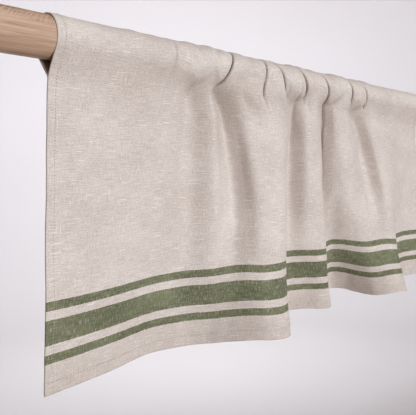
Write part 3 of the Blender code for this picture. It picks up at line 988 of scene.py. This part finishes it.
# %% The rod's mesh
ROD_RADIUS = 0.020
ROD_HALF = 0.500
ROD_SIDES = 96
ROD_RINGS = 60
END_PLAIN = 0.01  # the stretch between each end's rim and the first of the rings
RIM_ROUNDING = 0.0015
RIM_STEPS = 4
SHRINKAGE = 0.0002  # keeps the uneven rod inside a true one
UNEVEN_ROUND = 0.00012  # the height of the low bulges round the rod
BULGES = 3
BULGE_TURN = 9.0  # how far they turn along the rod, in radians a metre
UNEVEN_ALONG = 0.00008  # the height of the long waves along the rod
WAVE_TURN = 31.0
UNEVEN_FROM = 0.015  # rings smaller than this, on the flat of the ends, are even


def rod_profile():
    """Places along the rod and radii, from the middle of one end to that of the other."""
    start = [(-ROD_HALF, 0.0), (-ROD_HALF, 0.5 * ROD_RADIUS)]
    for step in range(RIM_STEPS + 1):
        angle = math.pi / 2 * (1.0 - step / RIM_STEPS)
        place = -ROD_HALF + RIM_ROUNDING * (1.0 - math.sin(angle))
        start.append((place, ROD_RADIUS - RIM_ROUNDING * (1.0 - math.cos(angle))))
    inner = np.linspace(-ROD_HALF + END_PLAIN, ROD_HALF - END_PLAIN, ROD_RINGS)
    middle = [(float(x), ROD_RADIUS) for x in inner]
    return start + middle + [(-x, radius) for x, radius in reversed(start)]


def rod_ring(x, radius):
    """A ring of points round the rod, at one place along it."""
    ring = []
    for side in range(ROD_SIDES):
        angle = -2 * math.pi * side / ROD_SIDES
        reach = max(0.0, radius - SHRINKAGE)
        if radius > UNEVEN_FROM:
            reach += UNEVEN_ROUND * math.sin(BULGES * angle + BULGE_TURN * x)
            reach += UNEVEN_ALONG * math.sin(WAVE_TURN * x)
        ring.append((x, -reach * math.sin(angle), reach * math.cos(angle)))
    return ring


wooden_rod = skin("wooden_rod", [rod_ring(x, radius) for x, radius in rod_profile()])
print(f"{wooden_rod.name}: {len(wooden_rod.data.polygons)} faces")

# %% [markdown]
# ## Wood
#
# Wood is a bundle of long fibres. The grain is noise on Object coordinates, stretched far
# along the rod. Growth rings cut at a slant by the round surface give the long arches, thin
# dark strokes are the pores, and along the top there is a figure of small chevrons, which
# is noise with its coordinates folded about a line.

# %% Sizes and colours of the wood
WOOD_LIGHT = (0.50, 0.335, 0.238)
WOOD_MIDDLE = (0.42, 0.268, 0.180)
WOOD_DARK = (0.25, 0.145, 0.088)
DARK_TO_MIDDLE = (0.22, 0.46)  # the tone where each change of colour starts and ends
MIDDLE_TO_LIGHT = (0.42, 0.64)
STREAK_SCALE = (30.0, 520.0, 520.0)
BROAD_SCALE = (9.0, 70.0, 70.0)
PORE_SCALE = (45.0, 1500.0, 1500.0)
PORE_SHOWS = (0.66, 0.74)
PORE_SHARE = 0.55
FIGURE_SCALE = (760.0, 110.0)
FIGURE_MIDDLE = -0.007  # the line that the chevrons point along, as a place on Y
FIGURE_SLANT = 1.3
FIGURE_SHOWS = (0.004, 0.013)  # heights above the rod's axis
RING_PLACE = {"Location": (0.0, 0.012, 0.035), "Rotation": (0.0, 0.05, 0.0)}
RING_WAVE = {"Scale": 60.0, "Distortion": 2.6, "Detail": 2.0, "Detail Scale": 0.5}
STREAK_START = 0.14  # the part of the streaks' noise that is left off
STREAK_SHARE = 0.7
FIGURE_SHARE = 1.2
RING_SHARE = 0.07
BROAD_TONE_SHARE = 0.38
PORE_DEPTH = 0.8
WOOD_BUMP = {"Strength": 0.4, "Distance": 0.0004}

# %% Grain of the wood
wood, wood_tree, wood_shader = new_material(
    "light wood", {"Roughness": 0.55, "Specular IOR Level": 0.4}
)
wood_place = node(wood_tree, "ShaderNodeTexCoord").outputs["Object"]
wood_axes = node(wood_tree, "ShaderNodeSeparateXYZ", {"Vector": wood_place}).outputs
streaks = stretched_noise(wood_place, STREAK_SCALE, 4.0)
broad_tone = stretched_noise(wood_place, BROAD_SCALE, 3.0)
ring_place = node(wood_tree, "ShaderNodeMapping", {"Vector": wood_place, **RING_PLACE})
rings = node(
    wood_tree,
    "ShaderNodeTexWave",
    {"Vector": ring_place.outputs["Vector"], **RING_WAVE},
    wave_type="RINGS",
    rings_direction="X",
)

off_middle = math_node("ABSOLUTE", math_node("SUBTRACT", wood_axes["Y"], FIGURE_MIDDLE))
slanted = math_node("MULTIPLY", off_middle, FIGURE_SLANT)
chevron = math_node("ADD", wood_axes["X"], slanted)
chevron_place = node(wood_tree, "ShaderNodeCombineXYZ", {"X": chevron, "Y": off_middle})
figure = stretched_noise(chevron_place.outputs["Vector"], FIGURE_SCALE, 1.0)
figure = math_node("SUBTRACT", figure, 0.5)
figure = math_node("MULTIPLY", figure, between(wood_axes["Z"], *FIGURE_SHOWS))

# %% Wood colour and relief
wood_tone = weighted_sum(
    (math_node("SUBTRACT", streaks, STREAK_START), STREAK_SHARE),
    (figure, FIGURE_SHARE),
    (rings.outputs["Fac"], RING_SHARE),
    (broad_tone, BROAD_TONE_SHARE),
)
wood_colour = WOOD_DARK
for tone_range, paler in ((DARK_TO_MIDDLE, WOOD_MIDDLE), (MIDDLE_TO_LIGHT, WOOD_LIGHT)):
    paler_share = between(wood_tone, *tone_range)
    wood_colour = mix_colours(paler_share, wood_colour, paler)
pores = between(stretched_noise(wood_place, PORE_SCALE, 1.0), *PORE_SHOWS)
wood_colour = lay_over(pores, PORE_SHARE, wood_colour, WOOD_DARK)
wood_tree.links.new(wood_colour, wood_shader.inputs["Base Color"])
wood_height = math_node("SUBTRACT", streaks, math_node("MULTIPLY", pores, PORE_DEPTH))
wood_bump = node(wood_tree, "ShaderNodeBump", {"Height": wood_height, **WOOD_BUMP})
wood_tree.links.new(wood_bump.outputs["Normal"], wood_shader.inputs["Normal"])
wooden_rod.data.materials.append(wood)
print(f"{wood.name}: {len(wood_tree.nodes)} nodes")

# %% [markdown]
# ## Stitches
#
# A sewing machine leaves a row of short stitches. Each row is a line of points on the
# cloth, and Geometry Nodes put one small bead of thread every few millimetres along it,
# turned along the row. The same tree sets dark brown beads at the needle's holes, half a
# stitch further on: the holes are real, and their dark brown is painted shade in them. It
# is built once, with its sizes as named inputs.

# %% Thread, and needle holes in painted shade
STITCH_PITCH = 0.0029
STITCH_LENGTH = 0.0021
STITCH_THICKNESS = 0.00045
HOLE_LENGTH = 0.0009
HOLE_THICKNESS = 0.00060
STITCH_SEED = 5
STITCH_SIZES = {"Min": (0.88, 0.9, 0.9), "Max": (1.08, 1.1, 1.1)}  # from bead to bead
THREAD_DARK = (0.52, 0.44, 0.38)
THREAD_PALE = (0.74, 0.67, 0.61)
THREAD_NOISE_SCALE = 900.0
# painted shade: the dark brown of the needle holes stands for the shade in them
HOLE_SHADE_BROWN = (0.20, 0.145, 0.105, 1.0)

thread, thread_tree, thread_shader = new_material("linen sewing thread", {"Roughness": 0.7})
thread_place = node(thread_tree, "ShaderNodeTexCoord").outputs["Object"]
thread_noise = stretched_noise(thread_place, [THREAD_NOISE_SCALE] * 3, 2.0)
thread_colour = mix_colours(thread_noise, THREAD_DARK, THREAD_PALE)
thread_tree.links.new(thread_colour, thread_shader.inputs["Base Color"])
hole_shade_material = new_material("needle holes", {"Base Color": HOLE_SHADE_BROWN, "Roughness": 0.95})[0]

# %% Stitch tree
stitch_tree = bpy.data.node_groups.new("row of stitches", "GeometryNodeTree")
stitch_inputs = {}
for name, kind in (
    ("Row", "NodeSocketGeometry"),
    ("Pitch", "NodeSocketFloat"),
    ("Length", "NodeSocketFloat"),
    ("Thickness", "NodeSocketFloat"),
    ("Seed", "NodeSocketInt"),
    ("Yarn", "NodeSocketMaterial"),
):
    socket = stitch_tree.interface.new_socket(name, in_out="INPUT", socket_type=kind)
    stitch_inputs[name] = socket.identifier
stitch_tree.interface.new_socket("Stitches", in_out="OUTPUT", socket_type="NodeSocketGeometry")

sizes = node(stitch_tree, "NodeGroupInput").outputs
row_curve = node(stitch_tree, "GeometryNodeMeshToCurve", {"Mesh": sizes["Row"]})
spacing = {"Curve": row_curve.outputs["Curve"], "Length": sizes["Pitch"]}
spaced = node(stitch_tree, "GeometryNodeResampleCurve", spacing, mode="LENGTH")
bead = node(stitch_tree, "GeometryNodeMeshUVSphere", {"Segments": 6, "Rings": 4, "Radius": 0.5})
along_row = node(stitch_tree, "GeometryNodeInputTangent").outputs["Tangent"]
turned = node(stitch_tree, "FunctionNodeAlignRotationToVector", {"Vector": along_row}, axis="X")
uneven = {"Seed": sizes["Seed"], **STITCH_SIZES}
uneven_size = node(stitch_tree, "FunctionNodeRandomValue", uneven, data_type="FLOAT_VECTOR")
bead_axes = {"X": sizes["Length"], "Y": sizes["Thickness"], "Z": sizes["Thickness"]}
bead_size = node(stitch_tree, "ShaderNodeCombineXYZ", bead_axes)
factors = {0: bead_size.outputs["Vector"], 1: uneven_size.outputs["Value"]}
bead_scale = node(stitch_tree, "ShaderNodeVectorMath", factors, operation="MULTIPLY")
placed = node(
    stitch_tree,
    "GeometryNodeInstanceOnPoints",
    {
        "Points": spaced.outputs["Curve"],
        "Instance": bead.outputs["Mesh"],
        "Rotation": turned.outputs["Rotation"],
        "Scale": bead_scale.outputs["Vector"],
    },
)
real = node(stitch_tree, "GeometryNodeRealizeInstances", {"Geometry": placed.outputs[0]})
dyed = {"Geometry": real.outputs["Geometry"], "Material": sizes["Yarn"]}
painted = node(stitch_tree, "GeometryNodeSetMaterial", dyed)
node(stitch_tree, "NodeGroupOutput", {0: painted.outputs["Geometry"]})
print(f"{stitch_tree.name}: {len(stitch_tree.nodes)} nodes, {len(stitch_inputs)} inputs")

# %% [markdown]
# The rows of stitches follow lines on the flat cloth: beside both side hems, above the
# bottom hem, and along the pocket's seam. Each place on the flat cloth is looked up in the
# grid of points. The thread lies half sunk in the cloth, on its front and, apart from the
# seam's, on its back.

# %% Rows of stitches
SIDE_STITCH = 0.0088
BOTTOM_STITCH = 0.0124
SEAM_STITCH = 0.0008
ROW_STEP = 0.0015
ROW_START = 0.006  # where the rows of the side hems start, from the pocket's turned edge
FRONT_PROUD = 0.00010  # how far the middle of the thread stands off the cloth's front
SEAM_PROUD = -0.00012
BACK_PROUD = -HEM_THICKNESS - 0.00005


def on_cloth(across, along, proud):
    """Points above places on the flat cloth."""
    column_at = np.interp(across, across_places, np.arange(len(across_places)))
    row_at = np.interp(along, along_places, np.arange(len(along_places)))
    i = np.minimum(column_at.astype(int), len(across_places) - 2)
    j = np.minimum(row_at.astype(int), len(along_places) - 2)
    a = (column_at - i)[:, None]
    b = (row_at - j)[:, None]
    found = []
    for grid in (cloth_points, cloth_normals):
        left = grid[i, j] * (1 - b) + grid[i, j + 1] * b
        right = grid[i + 1, j] * (1 - b) + grid[i + 1, j + 1] * b
        found.append(left * (1 - a) + right * a)
    return found[0] + found[1] * proud


def straight_row(start, end, proud):
    """Points along a straight line on the flat cloth, from one (across, along) to another."""
    count = int(math.hypot(end[0] - start[0], end[1] - start[1]) / ROW_STEP) + 1
    across = np.linspace(start[0], end[0], count)
    along = np.linspace(start[1], end[1], count)
    return on_cloth(across, along, proud)


def sew(name, rows, length, thickness, yarn):
    """One mesh with a bead every few millimetres along several rows."""
    row_mesh = bpy.data.meshes.new(name)
    verts = []
    edges = []
    for points in rows:
        first = len(verts)
        verts.extend(points.tolist())
        edges.extend((k, k + 1) for k in range(first, len(verts) - 1))
    row_mesh.from_pydata(verts, edges, [])
    carrier = add_object(name + " rows", row_mesh)
    needle = carrier.modifiers.new("stitches", "NODES")
    needle.node_group = stitch_tree
    needle[stitch_inputs["Pitch"]] = STITCH_PITCH
    needle[stitch_inputs["Length"]] = length
    needle[stitch_inputs["Thickness"]] = thickness
    needle[stitch_inputs["Seed"]] = STITCH_SEED
    needle[stitch_inputs["Yarn"]] = yarn
    graph = bpy.context.evaluated_depsgraph_get()
    mesh = bpy.data.meshes.new_from_object(carrier.evaluated_get(graph), depsgraph=graph)
    mesh.name = name
    mesh.shade_smooth()
    bpy.data.objects.remove(carrier, do_unlink=True)
    sewn = add_object(name, mesh)
    print(f"{name}: {len(mesh.polygons)} faces")
    return sewn


def stitch_rows(shift):
    """Every row of stitches, shifted along itself."""
    right = CLOTH_WIDTH - SIDE_STITCH
    bottom = CLOTH_LENGTH - BOTTOM_STITCH
    seam = POCKET_LENGTH + SEAM_STITCH
    rows = [straight_row((shift, seam), (CLOTH_WIDTH, seam), SEAM_PROUD)]
    for proud in (FRONT_PROUD, BACK_PROUD):
        for side in (SIDE_STITCH, right):
            start = (side, ROW_START + shift)
            rows.append(straight_row(start, (side, CLOTH_LENGTH), proud))
        rows.append(straight_row((shift, bottom), (CLOTH_WIDTH, bottom), proud))
    return rows


stitches = sew("stitches", stitch_rows(0.0), STITCH_LENGTH, STITCH_THICKNESS, thread)
# The needle holes: dark beads half a stitch on, whose brown is painted shade.
half_on = stitch_rows(STITCH_PITCH / 2)
holes = sew("needle_holes_painted_shade", half_on, HOLE_LENGTH, HOLE_THICKNESS, hole_shade_material)

# %% [markdown]
# ## Tie the pieces to the frame
#
# Every piece rides on the part's one body. The new cloth and the new rod stand for the
# plain ones of the imported model, which stay hidden.

# %% Frame calls
PIECES = ((valance, "cloth"), (stitches, "cloth"), (holes, "cloth"), (wooden_rod, "rod"))
for piece, slot in PIECES:
    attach(piece, "root")
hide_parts("valance")
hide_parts("rod")
